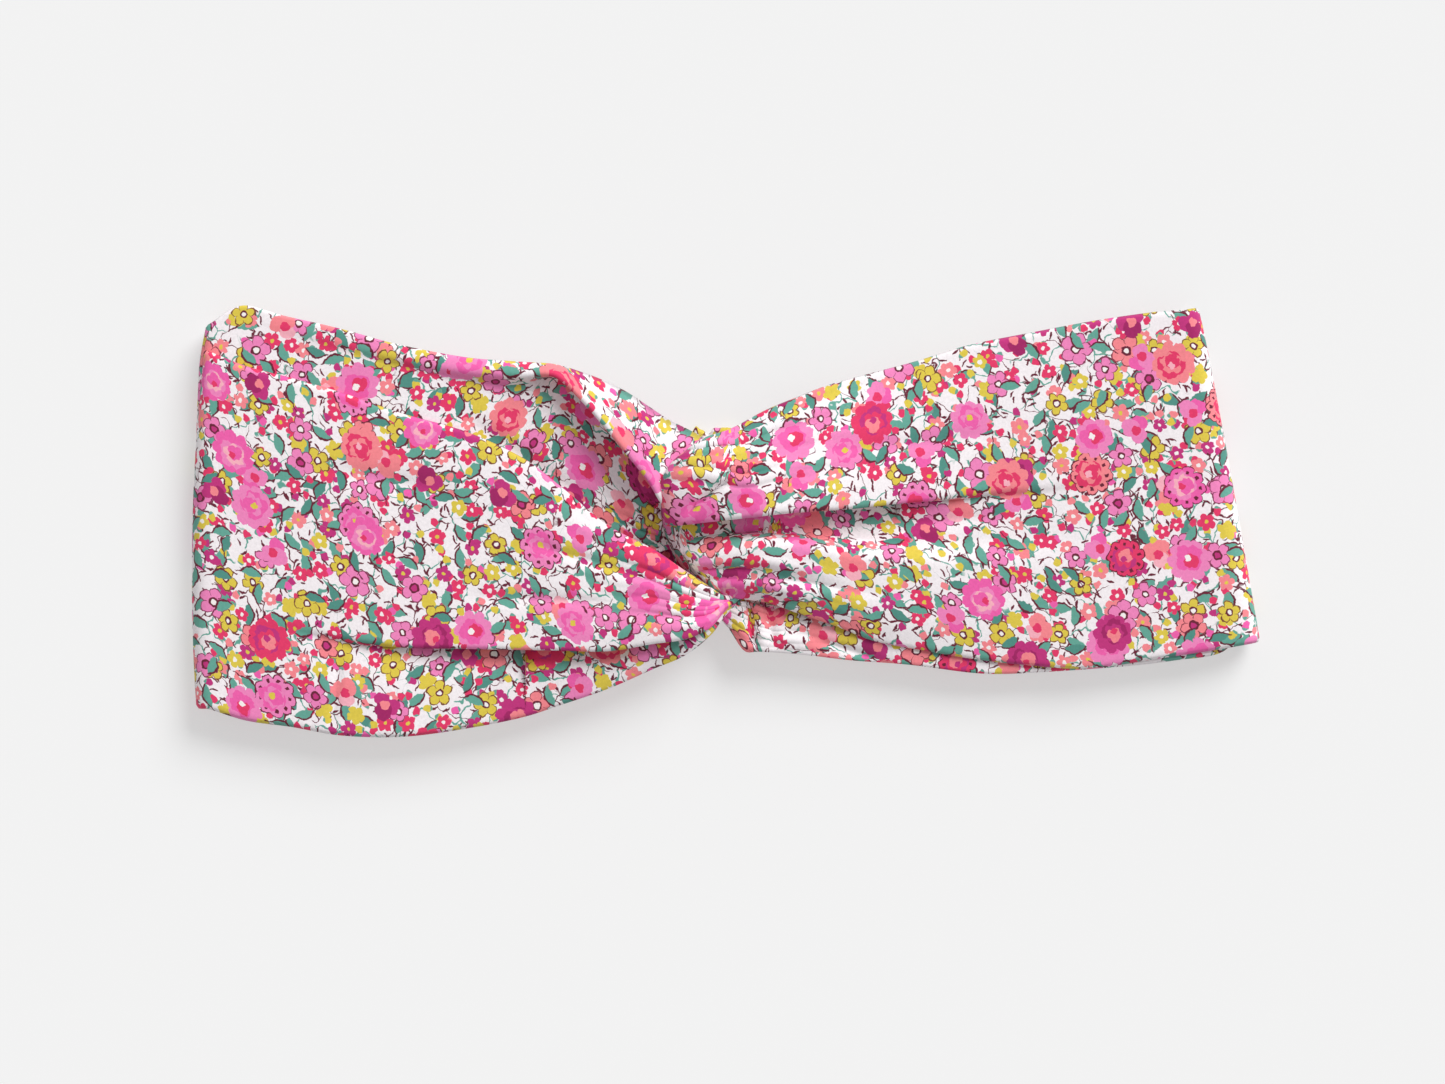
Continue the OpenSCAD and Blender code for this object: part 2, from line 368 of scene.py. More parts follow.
def petalClump(w, under, place, spacing, offset, share):
    # loose half-open blooms: a few overlapping round petals in two or three tones
    spots = scatter(w, place, spacing, offset, 0.7)
    here = kept(w, spots["Chance"], share)
    result = under
    blooms = [
        # middle, radius, tones
        ((-1.6, 0.9), 2.3, "pink coral magenta"), ((1.5, 1.1), 2.2, "orchid blush magenta"),
        ((-0.2, -1.3), 2.5, "orchid coral plum"), ((0.3, 0.4), 1.3, "crimson crimson coral")]
    for (x, y), radius, tones in blooms:
        shape = petals(w, w.shift(spots["Local"], (-x, -y, 0)), 3.0, radius, 0.22)
        result = w.mix(w.mul(w.inside(shape["Inside"]), here), result, w.pick(spots["Pick"], inks(tones)))
    return result


printPlan = {
    "unitsPerMetre": 1180.0,  # motif sizes are in drawing units, 1.18 of them to a millimetre of cloth
    "wander": 0.9,            # printed edges wander this much, as if drawn by hand
}


def makePrint():
    tree, w, given, out = newGroup("floralPrint", [("Vector", vector)], [("Color", colour)])
    scaled = w.grow(given["Vector"], printPlan["unitsPerMetre"])
    hand = w.node("ShaderNodeTexNoise", {"Vector": scaled, "Scale": 0.7, "Detail": 2.0},
                  noise_dimensions="2D").outputs["Color"]
    place = w.wander(scaled, hand, (printPlan["wander"], printPlan["wander"], 0.0))
    result = ink["ground"]
    # each layer: spacing, offset of its scatter, then its sizes and the share of places that it fills
    result = stemLayer(w, result, place, 8.0, 3.0, 0.42, ink["teal"])
    result = stemLayer(w, result, place, 8.0, 41.0, 0.3, ink["maroon"])
    result = tickLayer(w, result, place, 3.2, 11.0, 2.4, 0.55)
    result = tickLayer(w, result, place, 3.6, 57.0, 2.0, 0.5)
    result = leafLayer(w, result, place, 7.6, 23.0, 6.2, 2.7, 0.7)
    result = budLayer(w, result, place, 4.6, 31.0, 0.95, "crimson magenta crimson coral", 0.6)
    result = budLayer(w, result, place, 6.1, 73.0, 0.95, "yellow pink yellow", 0.5)
    result = flowerLayer(w, result, place, 7.4, 5.0, 2.1, 0.4, "crimson crimson coral magenta", 0.6)
    result = flowerLayer(w, result, place, 8.4, 91.0, 2.3, 0.36, "crimson yellow coral yellow", 0.5)
    result = flowerLayer(w, result, place, 12.0, 63.0, 3.3, 0.42, "yellow yellow orchid", 0.55,
                         outline=0.34, eye=0.18, eyeTones="white white")
    result = flowerLayer(w, result, place, 15.0, 29.0, 3.9, 0.36, "orchid orchid coral", 0.38,
                         outline=0.32, eye=0.2, eyeTones="magenta white")
    result = leafLayer(w, result, place, 8.6, 77.0, 5.8, 2.5, 0.6)
    result = petalClump(w, result, place, 16.0, 19.0, 0.45)
    result = roseLayer(w, result, place, 25.0, 37.0, 5.8, 0.66)
    result = roseLayer(w, result, place, 29.0, 83.0, 5.2, 0.55)
    # dye sits a little unevenly in the yarns
    tone = w.node("ShaderNodeTexNoise", {"Vector": scaled, "Scale": 1.3, "Detail": 4.0, "Roughness": 0.7},
                  noise_dimensions="2D").outputs[0]
    light = w.node("ShaderNodeMapRange", {0: tone, 1: 0.25, 2: 0.75, 3: 0.9, 4: 1.06}).outputs[0]
    w.feed(out["Color"], w.grow(result, light))
    return tree


def makeWeave():
    # plain weave: two crossed sets of yarns, as height and as a slight painted shade, darker where the yarns
    # and slubs dip
    tree, w, given, out = newGroup("plainWeave", [("Vector", vector), ("Yarns", number)],
                                   [("Height", number), ("Shade", number)])
    x, y, _ = w.split(given["Vector"])
    turns = w.mul(given["Yarns"], 2 * math.pi)
    warp = w.math("SINE", w.mul(x, turns))
    weft = w.math("SINE", w.mul(y, turns))
    slubs = w.node("ShaderNodeTexNoise", {"Vector": given["Vector"], "Scale": 2600.0, "Detail": 2.0},
                   noise_dimensions="2D").outputs[0]
    height = w.add(w.mul(w.mul(warp, weft), 0.35), w.mul(slubs, 0.6))
    w.feed(out["Height"], height)
    shade = w.node("ShaderNodeMapRange", {0: height, 1: -0.1, 2: 0.75, 3: 0.93, 4: 1.03})
    w.feed(out["Shade"], shade.outputs[0])
    return tree


printGroup = makePrint()
weaveGroup = makeWeave()


def newMaterial(name):
    material = bpy.data.materials.new(name)
    material.use_nodes = True
    tree = material.node_tree
    tree.nodes.clear()
    shader = tree.nodes.new("ShaderNodeBsdfPrincipled")
    output = tree.nodes.new("ShaderNodeOutputMaterial")
    tree.links.new(shader.outputs[0], output.inputs["Surface"])
    return material, Wires(tree), shader


def printedLawn(name, mapped=True):
    # cloth pieces carry their print on their own UV map; small strips read the object's place
    material, w, shader = newMaterial(name)
    if mapped:
        place = w.node("ShaderNodeUVMap", uv_map="cloth").outputs[0]
    else:
        place = w.node("ShaderNodeTexCoord").outputs["Object"]
    printed = w.node("ShaderNodeGroup", node_tree=printGroup)
    w.feed(printed.inputs["Vector"], place)
    weave = w.node("ShaderNodeGroup", node_tree=weaveGroup)
    w.feed(weave.inputs["Vector"], place)
    weave.inputs["Yarns"].default_value = 3200
    # the print, darkened a little by the weave's painted shade
    w.feed(shader.inputs["Base Color"], w.grow(printed.outputs[0], weave.outputs["Shade"]))
    bump = w.node("ShaderNodeBump", {
        "Strength": 0.25, "Distance": 0.06 * mm, "Height": weave.outputs["Height"]})
    w.feed(shader.inputs["Normal"], bump.outputs[0])
    shader.inputs["Roughness"].default_value = 0.82
    shader.inputs["Specular IOR Level"].default_value = 0.25
    shader.inputs["Sheen Weight"].default_value = 0.12
    shader.inputs["Sheen Roughness"].default_value = 0.5
    return material


def woven(name, base, ribs, roughness=0.8):
    # elastic and thread: fine ribs along one way, on the object's own place
    material, w, shader = newMaterial(name)
    place = w.node("ShaderNodeTexCoord").outputs["Object"]
    x, y, z = w.split(place)
    rib = w.math("SINE", w.mul(w.add(x, w.mul(z, 0.6)), ribs * 2 * math.pi))
    fuzz = w.node("ShaderNodeTexNoise", {"Vector": place, "Scale": 3000.0, "Detail": 3.0}).outputs[0]
    height = w.add(w.mul(rib, 0.5), fuzz)
    # painted shade: the colour is darker in the ribs' hollows, and varies at random with the fuzz
    shade = w.node("ShaderNodeMapRange", {0: height, 1: -0.2, 2: 1.2, 3: 0.8, 4: 1.05}).outputs[0]
    w.feed(shader.inputs["Base Color"], w.grow(base[:3], shade))
    bump = w.node("ShaderNodeBump", {"Strength": 0.5, "Distance": 0.1 * mm, "Height": height})
    w.feed(shader.inputs["Normal"], bump.outputs[0])
    shader.inputs["Roughness"].default_value = roughness
    return material


lawn = printedLawn("printedLawn")
lawnStrip = printedLawn("printedLawnStrip", mapped=False)
elasticRibbed = woven("elasticRibbed", linear(240, 238, 232), 1100)
sewingThread = woven("sewingThread", linear(246, 232, 236), 1800, 0.6)
print("materials made")


jointAt = {joint["name"]: joint for joint in frame["joints"]}


def hingeReach(name):
    x, y, _ = jointAt[name]["pos_m"]
    return math.hypot(x, y) / mm


layout = {
    "seam": 41.2,          # where the gathered backs are sewn to the casing
    "seamHalf": 20,        # half the width of that seam
    "cut": 13.0,           # the tubes are cut this far either side of a flex line
    "bend": 12.0,          # and bend over this much of it
    "mid": 4.5,            # height of the end folds' middle
    "foldLap": 1.0,        # the fold's piece runs this far onto the flats
    "foldSpread": 1.75,    # an opening fold turns evenly over this many of its radii, up and down
    "settle": 14.0,        # and the flat cloth next to it takes the rest over this length
    "knotFrom": 32,        # the cloth passes from the wing to the knot between these two reaches
    "knotTo": 14,
}
plan = {side: {"flex": hingeReach(f"{side}_back_bend"), "fold": hingeReach(f"{side}_end_fold")}
        for side in ("left", "right")}
plan["left"].update(turn=0.0, mirror=-1)
plan["right"].update(turn=math.radians(9.83), mirror=1)


def toBand(side, u, v):
    # from a side's own frame (u outwards, v towards the upper edge) to the band's
    turn = plan[side]["turn"]
    x = u * math.cos(turn) - v * math.sin(turn)
    y = u * math.sin(turn) + v * math.cos(turn)
    return plan[side]["mirror"] * x, y


def toSide(side, x, y):
    turn = plan[side]["turn"]
    x *= plan[side]["mirror"]
    return x * math.cos(turn) + y * math.sin(turn), -x * math.sin(turn) + y * math.cos(turn)


def spread(rows, count):
    # Catmull-Rom through the rows, at about even steps of the middle's length
    rows = np.array(rows, float)
    middle = rows[:, rows.shape[1] // 2]
    steps = np.linalg.norm(np.diff(middle, axis=0), axis=1)
    knots = np.concatenate([[0], np.cumsum(np.maximum(steps, 0.01))])
    at = np.linspace(0, knots[-1], count)
    result = np.empty((count, *rows.shape[1:]))
    padded = np.concatenate([[2 * rows[0] - rows[1]], rows, [2 * rows[-1] - rows[-2]]])
    gaps = np.concatenate([[knots[1] - knots[0]], np.diff(knots), [knots[-1] - knots[-2]]])
    for i, a in enumerate(at):
        k = min(np.searchsorted(knots, a, side="right") - 1, len(rows) - 2)
        h = knots[k + 1] - knots[k]
        t = (a - knots[k]) / h
        before, p, q, after = padded[k : k + 4]
        left, right = gaps[k], gaps[k + 2]
        slopeIn = (q - before) / (left + h) * h
        slopeOut = (after - p) / (right + h) * h
        result[i] = ((2 * t**3 - 3 * t**2 + 1) * p + (t**3 - 2 * t**2 + t) * slopeIn
                     + (-2 * t**3 + 3 * t**2) * q + (t**3 - t**2) * slopeOut)
    return result, at


def across(rows, shares, count):
    # the same across the cloth, monotone between guides so that creases stay crisp
    at = np.linspace(0, 1, count)
    shares = np.array(shares)
    slopes = np.diff(rows, axis=1) / np.diff(shares)[None, :, None]
    inner = np.where(slopes[:, 1:] * slopes[:, :-1] > 0,
                     2 * slopes[:, 1:] * slopes[:, :-1] / (slopes[:, 1:] + slopes[:, :-1] + 1e-12), 0)
    tangent = np.concatenate([slopes[:, :1], inner, slopes[:, -1:]], axis=1)
    result = np.empty((rows.shape[0], count, 3))
    for i, a in enumerate(at):
        k = min(np.searchsorted(shares, a, side="right") - 1, len(shares) - 2)
        h = shares[k + 1] - shares[k]
        t = (a - shares[k]) / h
        result[:, i] = ((2 * t**3 - 3 * t**2 + 1) * rows[:, k] + (t**3 - 2 * t**2 + t) * h * tangent[:, k]
                        + (-2 * t**3 + 3 * t**2) * rows[:, k + 1] + (t**3 - t**2) * h * tangent[:, k + 1])
    return result


def clothPlaces(points, start):
    # the print's coordinates: length along the leg, and true length across it
    middle = points[:, points.shape[1] // 2]
    along = start + np.concatenate([[0], np.cumsum(np.linalg.norm(np.diff(middle, axis=0), axis=1))])
    over = np.concatenate([np.zeros((len(points), 1)),
                           np.cumsum(np.linalg.norm(np.diff(points, axis=1), axis=2), axis=1)], axis=1)
    over -= over[:, points.shape[1] // 2][:, None]
    return np.stack([np.repeat(along[:, None], points.shape[1], axis=1), over], axis=2)


def clothNormals(points):
    along = np.gradient(points, axis=0)
    over = np.gradient(points, axis=1)
    facing = np.cross(over, along)
    return facing / np.maximum(np.linalg.norm(facing, axis=2, keepdims=True), 1e-9)


def tubeMesh(name, points, facing, places, thick, material):
    # a pressed tube round its middle surface: one ply over, one under, joined along both folded edges
    rows, columns = points.shape[:2]
    share = np.linspace(0, 1, columns)
    width = np.linalg.norm(points[:, -1] - points[:, 0], axis=1)[:, None] + 1
    fromEdge = np.minimum(share, 1 - share)[None, :] * width
    half = (thick / 2 * np.sqrt(np.clip(1 - np.clip(1 - fromEdge / thick, 0, 1) ** 2, 0, 1)))[:, :, None]
    around = np.concatenate([points + facing * half, (points - facing * half)[:, -2::-1]], axis=1)
    prints = np.concatenate([places, places[:, -2::-1]], axis=1)
    total = around.shape[1]
    bm = bmesh.new()
    bmesh.ops.create_grid(bm, x_segments=rows - 1, y_segments=total - 1, size=1)
    uv = bm.loops.layers.uv.new("cloth")
    order = {vert: (round((vert.co.x + 1) / 2 * (rows - 1)), round((vert.co.y + 1) / 2 * (total - 1)))
             for vert in bm.verts}
    for face in bm.faces:
        face.smooth = True
        for loop in face.loops:
            loop[uv].uv = prints[order[loop.vert]] * mm
    for vert, place in order.items():
        vert.co = Vector(around[place]) * mm
    for edge in bm.edges:
        edge.smooth = {order[vert][0] for vert in edge.verts} not in ({0}, {rows - 1})
    seam = [vert for vert, place in order.items() if place[1] in (0, total - 1)]
    bmesh.ops.remove_doubles(bm, verts=seam, dist=1e-7)
    bmesh.ops.holes_fill(bm, edges=[edge for edge in bm.edges if edge.is_boundary], sides=0)
    bmesh.ops.recalc_face_normals(bm, faces=bm.faces[:])
    mesh = bpy.data.meshes.new(name)
    bm.to_mesh(mesh)
    bm.free()
    mesh.materials.append(material)
    piece = bpy.data.objects.new(name, mesh)
    bpy.context.scene.collection.objects.link(piece)
    return piece


def flatRow(side, reach, high, low, z, shares):
    # a row of points across the cloth at one height, each at its own reach
    places = [toBand(side, u, high + (low - high) * share) for u, share in zip(reach, shares)]
    return [(x, y, z) for x, y in places]


def backAndFold(side, leg):
    # from the gathered seam at the back, out to the end fold and over to the front
    p = plan[side]
    rows = []
    flexWide = leg["flexLow"] - leg["flexHigh"]
    for part in (0, 0.5, 1):
        row = []
        for share in leg["shares"]:
            xSeam, ySeam = p["mirror"] * layout["seam"], layout["seamHalf"] * (1 - 2 * share)
            xFlex, yFlex = toBand(side, p["flex"], leg["flexHigh"] + flexWide * share)
            row.append((xSeam + (xFlex - xSeam) * part, ySeam + (yFlex - ySeam) * part, leg["backZ"]))
        rows.append(row)
    for part in (0.35, 0.7, 0.93):
        u = p["flex"] + (p["fold"] - p["flex"]) * part
        high = leg["flexHigh"] + (leg["foldHigh"] - leg["flexHigh"]) * part
        low = leg["flexLow"] + (leg["foldLow"] - leg["flexLow"]) * part
        rows.append(flatRow(side, [u] * len(leg["shares"]), high, low, leg["backZ"], leg["shares"]))
    radius = layout["mid"] - leg["backZ"]
    for angle in (-90, -60, -30, 0, 30, 60, 90):
        turn = math.radians(angle)
        reach = [p["fold"] + (radius - leg["inset"](share)) * math.cos(turn) for share in leg["shares"]]
        height = layout["mid"] + radius * math.sin(turn)
        rows.append(flatRow(side, reach, leg["foldHigh"], leg["foldLow"], height, leg["shares"]))
    return rows


def frontRows(side, leg):
    rows = []
    for u, high, low, base, bulge, fold in leg["stations"]:
        row = []
        for k, share in enumerate(leg["shares"]):
            v = high + (low - high) * share + leg["slip"][k] * fold
            x, y = toBand(side, u, v)
            row.append((x, y, base + leg["hump"][k] * bulge + leg["crease"][k] * fold))
        rows.append(row)
    for flat, heights in leg["knotRows"]:
        rows.append([(x, y, z) for (x, y), z in zip(flat, heights)])
    return rows


# each leg: shares say where its guide lines lie across the cloth, and hump, crease and slip say how far each
# line is lifted, pressed down and moved sideways. A station is its reach, upper edge, lower edge, height,
# and how much of the hump and of the crease it has.
legs = {
    "left_outer": {
        "pleats": 11, "backZ": 0.5,
        "flexHigh": 29, "flexLow": -31, "foldHigh": 38, "foldLow": -42,
        "inset": lambda share: 3.2 * (1 - share) ** 3 + 1.4 * share**4,
        "shares": [0, 0.1, 0.28, 0.5, 0.64, 0.70, 0.73, 0.86, 1],
        "hump": [0.4, 0.72, 0.93, 1, 0.95, 0.86, 0.55, 0.45, 0.05],
        "crease": [0, 0, 0, 0, 0.25, 0.45, -1.05, -0.35, 0],
        "slip": [0, 0, 0, 0, -0.3, -0.8, 0.5, 0, 0],
        "stations": [
            (107, 34.6, -44.6, 8.5, 0.2, 0), (97, 32, -46, 8.5, 0.5, 0.1), (86, 28.8, -47.9, 8.5, 0.9, 0.7),
            (72, 24, -48.2, 8.5, 1.4, 1.4), (58, 20, -46.4, 8.5, 2.0, 2.0), (45, 14, -43.8, 8.6, 2.9, 2.4),
            (37, 8, -41.2, 9, 3.6, 2.6), (26, -1, -37.4, 9.8, 4.2, 2.6), (16, -6.2, -33, 10.6, 4.6, 2.4),
            (9, -11, -30, 11.2, 4.4, 1.9), (3.6, -14.6, -25.8, 11.4, 3.4, 1.2)],
        "knotRows": [
            ([(-0.6, -16.6), (-0.5, -17), (-0.4, -17.6), (-0.3, -18.3), (-0.2, -19), (-0.2, -19.5),
              (-0.2, -19.9), (-0.4, -20.8), (-0.8, -21.8)],
             [11.2, 11.8, 12.2, 12.4, 12, 11.6, 11, 10.4, 9.8]),
            ([(1.6, -16.2), (1.7, -16.5), (1.8, -16.9), (2, -17.4), (2, -17.8), (2, -18.1), (2, -18.3),
              (2, -18.7), (1.9, -19.1)], [9.4, 9.8, 10, 10, 9.8, 9.6, 9.4, 9, 8.6]),
            ([(5, -11), (5.3, -11.3), (5.6, -11.7), (6, -12.1), (6.3, -12.5), (6.5, -12.8), (6.7, -13),
              (7, -13.4), (7.3, -13.8)], [8.4] * 9)],
    },
    "left_inner": {
        "pleats": 11, "backZ": 1.6,
        "flexHigh": 33, "flexLow": -24, "foldHigh": 44, "foldLow": -32,
        "inset": lambda share: 2.6 * (1 - share) ** 8,
        "shares": [0, 0.06, 0.14, 0.5, 1],
        "hump": [0, 0, 0, 0, 0], "crease": [0, 0, 0, 0, 0], "slip": [0, 0, 0, 0, 0],
        "stations": [],
        "knotRows": [],
    },
    "right_outer": {
        "pleats": 17, "backZ": 0.5,
        "flexHigh": 22, "flexLow": -36, "foldHigh": 29, "foldLow": -47.1,
        "inset": lambda share: 0.8 * (1 - share) ** 4,
        "shares": [0, 0.1, 0.25, 0.38, 0.445, 0.475, 0.6, 0.69, 0.74, 0.88, 1],
        "hump": [0, 0.55, 0.95, 1, 0.96, 0.86, 0.7, 0.72, 0.7, 0.5, 0.05],
        "crease": [0, 0, 0, 0.05, 0.15, -1.1, -0.95, 0.15, 0.05, 0, 0],
        "slip": [0, 0, 0, 0, -0.5, 0.35, 0, 0.25, 0, 0, 0],
        "stations": [
            (103, 29.6, -47.1, 8.5, 0.2, 0), (90, 30, -46.8, 8.5, 0.5, 0), (74, 29.8, -46.3, 8.5, 1.0, 0.4),
            (60, 29.4, -43, 8.5, 1.6, 1.0), (48, 27.9, -39.4, 8.5, 2.5, 1.9), (38, 27, -35.8, 8.7, 3.5, 2.9),
            (28, 26, -32, 9.2, 4.6, 3.9), (20, 24.4, -27.2, 9.8, 5.7, 4.7), (13, 22.8, -23.4, 10.2, 6.6, 5.0),
            (6.5, 20.6, -19.8, 10.6, 7.0, 5.0)],
        "knotRows": [
            ([(-1, 19.6), (-2.5, 16.8), (-4, 13), (-4.5, 7), (-4.6, 0), (-4.2, 1.4), (-3.8, -3.2),
              (-3.4, -6.8), (-2.8, -8.6), (-0.8, -13), (1.2, -17.2)],
             [12.2, 15.4, 17.4, 18, 16.6, 11.6, 11, 14.4, 14, 12.6, 11]),
            ([(-4.5, 18.4), (-8, 15.6), (-11.5, 12.4), (-13.6, 7), (-12.4, -0.8), (-11.2, 0.4), (-10.2, -4.2),
              (-9, -7), (-7.4, -9.2), (-3.6, -13.6), (0.6, -17.3)],
             [11.4, 14.6, 15.4, 15.2, 13.6, 10.6, 10.2, 11.6, 11.8, 11.4, 10.4]),
            ([(-4, 17.6), (-7.6, 14.6), (-11.2, 11.4), (-13.4, 6.2), (-12.2, -0.2), (-11.2, -2.8),
              (-9.8, -5.2), (-8.6, -7.6), (-7, -9.8), (-3.4, -14), (0.4, -17.5)], [9.2] * 11)],
    },
    "right_inner": {
        "pleats": 5, "backZ": 1.6,
        "flexHigh": 16, "flexLow": -38, "foldHigh": 14, "foldLow": -45,
        "inset": lambda share: 2 * share**8,
        "shares": [0, 0.35, 0.7, 0.88, 1],
        "hump": [0, 1, 1, 0.8, 0.3], "crease": [0, 0, 0, 0, 0], "slip": [0, 0, 0, 0, 0],
        "stations": [
            (104, 12, -48, 7.4, 0, 0), (94, 9, -47.9, 7.4, 0, 0), (84, 6, -47.4, 7.4, 0, 0),
            (64, -3, -45.4, 7.4, 0, 0), (51, -9, -43.5, 7.4, 0.1, 0), (35, -17, -38.7, 7.4, 0.4, 0),
            (22, -20, -35.4, 7.4, 0.8, 0), (14, -20, -33, 7.4, 1.2, 0)],
        "knotRows": [
            ([(11, -19.6), (11, -23), (11, -26), (11.2, -28), (11.4, -29.4)], [8.6, 9.2, 9.2, 8.8, 7.8]),
            ([(6.2, -18.4), (6.2, -21.4), (6.4, -24.4), (6.8, -27), (7.4, -29.2)], [9, 9.6, 9.6, 9.4, 8.2]),
            ([(2.6, -17.6), (2.4, -19.6), (2.4, -22), (3, -24.8), (4.2, -29)], [9, 9.4, 9.2, 9, 7.8]),
            ([(0, -16.6), (-0.6, -18), (-0.8, -19.6), (-0.4, -21.6), (1.4, -24.6)], [8.4, 8.4, 8.2, 8, 7.6]),
            ([(-5, -12), (-5.4, -13), (-5.6, -14), (-5.6, -15), (-5, -16.4)], [8, 8, 8, 8, 8])],
    },
}

# the left inner leg: its upper strand folds over into a ridge that runs down into the knot
strandPlan = [
    # distance, top edge, ridge, foot of the ridge, lower edge, height of the strand
    (108, 48.2, 46, 43.5, -31, 0), (99, 46, 43.6, 41, -29, 0.2), (86, 43, 40.3, 37.5, -26, 0.5),
    (74, 39.7, 37, 34.5, -22, 0.9), (58, 36.6, 33.8, 31, -16, 1.8), (46, 35.6, 32.6, 30.4, -13, 3.2),
    (38, 35, 32.4, 32.6, -11, 5.0), (32, 33.2, 27.2, 29.0, -9.5, 6.6), (27, 31.3, 21.6, 23.6, -8.5, 7.8),
    (22, 28.8, 15.4, 17.4, -7.5, 8.2), (17, 25.5, 9.2, 11.0, -7.8, 7.8), (12.6, 22.6, 2.4, 4.0, -6.2, 6.6),
    (8, 20.3, 0.4, 1.2, -6, 5.0), (2, 17.2, 1, 1.4, -5, 2.4), (-4, 13, 2, 2, -3, 1.0)]
for u, top, ridge, foot, low, height in strandPlan:
    base = 7.4 if u > 20 else 7.8
    legs["left_inner"]["knotRows"].append((
        [toBand("left", u, top), toBand("left", u, ridge), toBand("left", u, foot),
         toBand("left", u, (foot + low) / 2), toBand("left", u, low)],
        [base + 0.45 * height, base + height, base, base, base]))

clothPlan = {
    "thickness": {"outer": 1.0, "inner": 0.9},
    "under": {"outer": 0.02, "inner": 1.05},  # lowest a leg's underside may come
    "apart": 1000,         # the legs' prints start this far from one another
    "step": 1.0,           # spacing of the mesh's rows
    "columns": 96,
    "pleatReach": 26,      # gathers fade over this distance from the knot
    "pleatHeight": 0.75,
    "waves": 0.32,         # gentle unevenness of the flat cloth
    "backPleats": 0.35,    # gathers at the seam with the casing
}


# single sharp creases: where each starts and ends, how wide and how deep it is
grooves = {
    "right_outer": [((1.5, 9.6), (-9.5, 1.2), 0.8, 2.8), ((2, -11), (26, -15.5), 1.1, 0.9),
                    ((12, 14), (60, 19), 2.0, 0.7), ((20, -1.5), (64, 1), 1.6, 0.8)],
    "right_inner": [((5.2, -18), (6.6, -28), 0.9, 2.6), ((9.5, -19), (11, -28.5), 1.0, 1.5),
                    ((12, -23.5), (40, -33), 1.2, 0.9)],
    "left_outer": [((-9, -15), (-44, -5), 1.5, 0.9), ((-12, -18.5), (-58, -17), 1.5, 0.7),
                   ((-60, 6), (-92, 12), 2.4, 0.7), ((-86, -30), (-88, -46), 0.8, 0.8)],
    "left_inner": [((-16, 14), (-30, 31), 1.1, 0.9), ((-10, 9), (-18, 26), 0.8, 0.9),
                   ((-30, 4), (-60, 24), 2.2, 0.9)],
}


def grooveDepth(name, x, y):
    depth = 0
    for start, end, width, deep in grooves[name]:
        alongX, alongY = end[0] - start[0], end[1] - start[1]
        length = math.hypot(alongX, alongY)
        share = ((x - start[0]) * alongX + (y - start[1]) * alongY) / length**2
        away = ((x - start[0]) * alongY - (y - start[1]) * alongX) / length
        fade = math.sin(math.pi * min(1, max(0, share))) ** 0.6
        depth += deep * fade * math.exp(-(away / width) ** 2)
    return depth


def wrinkles(name, points):
    # gathers running along the leg near the knot and near the back seam, and soft waves everywhere
    rows, columns = points.shape[:2]
    seed = sorted(legs).index(name) * 17.3
    pleats = legs[name]["pleats"]
    lifted = points.copy()
    for i in range(rows):
        for j in range(columns):
            x, y, z = points[i, j]
            share = j / (columns - 1)
            front = min(1, max(0, (z - layout["mid"]) / 3))
            reach = math.hypot(x, y * 0.6)
            near = math.exp(-(reach / clothPlan["pleatReach"]) ** 2)
            pleat = noise.noise((share * pleats + seed, reach * 0.035, seed))
            fine = noise.noise((share * pleats * 2.2 - seed, reach * 0.06, seed + 5))
            wave = noise.noise((x * 0.045, y * 0.055 + seed, 0.3))
            wave += 0.4 * noise.noise((x * 0.12, y * 0.1, seed))
            ends = min(1, max(0, (110 - abs(x)) / 14))
            lift = near * clothPlan["pleatHeight"] * (pleat + 0.45 * fine) * 1.6
            lift += clothPlan["waves"] * wave * (0.35 + 0.65 * ends)
            backNear = math.exp(-(max(0, abs(x) - layout["seam"]) / 11) ** 2)
            backLift = backNear * clothPlan["backPleats"] * math.sin(share * 2 * math.pi * 11 + seed)
            lift -= grooveDepth(name, x, y)
            lifted[i, j, 2] += front * lift + (1 - front) * backLift * (0.5 if z < 1 else 1) * 0.8
    return lifted


pieces = {}
for name, leg in legs.items():
    side, layer = name.split("_")
    p = plan[side]
    thick = clothPlan["thickness"][layer]
    guides = backAndFold(side, leg) + frontRows(side, leg)
    count = int(np.linalg.norm(np.diff(np.array(guides)[:, 2], axis=0), axis=1).sum() / clothPlan["step"])
    smooth, _ = spread(guides, count)
    points = wrinkles(name, across(smooth, leg["shares"], clothPlan["columns"]))
    points[:, :, 2] = np.maximum(points[:, :, 2], thick / 2 + clothPlan["under"][layer])
    facing = clothNormals(points)
    if facing[count // 8, clothPlan["columns"] // 2, 2] > 0:
        facing = -facing
    places = clothPlaces(points, clothPlan["apart"] * sorted(legs).index(name))
    # where along the leg each flex line and the end fold lie
    middle = points[:, clothPlan["columns"] // 2]
    reach = np.array([toSide(side, x, y)[0] for x, y, _ in middle])
    outermost = int(np.argmax(reach))
    backCut = int(np.argmin(np.abs(reach[:outermost] - p["flex"] - layout["cut"])))
    frontOut = outermost + int(np.argmin(np.abs(reach[outermost:] - p["flex"] - layout["cut"])))
    frontIn = outermost + int(np.argmin(np.abs(reach[outermost:] - p["flex"] + layout["cut"])))
    foldFrom = p["fold"] - layout["foldLap"]
    foldIn = int(np.argmin(np.abs(reach[:outermost] - foldFrom)))
    foldOut = outermost + int(np.argmin(np.abs(reach[outermost:] - foldFrom)))
    spans = {"Back": (0, backCut), "Under": (backCut, foldIn), "Fold": (foldIn, foldOut),
             "Over": (foldOut, frontOut), "Bend": (frontOut, frontIn), "Knot": (frontIn, count - 1)}
    for part, (first, last) in spans.items():
        rows = slice(first, last + 1)
        pieces[name, part] = tubeMesh(f"{name}{part}", points[rows], facing[rows], places[rows], thick, lawn)
print("cloth tubes lofted")


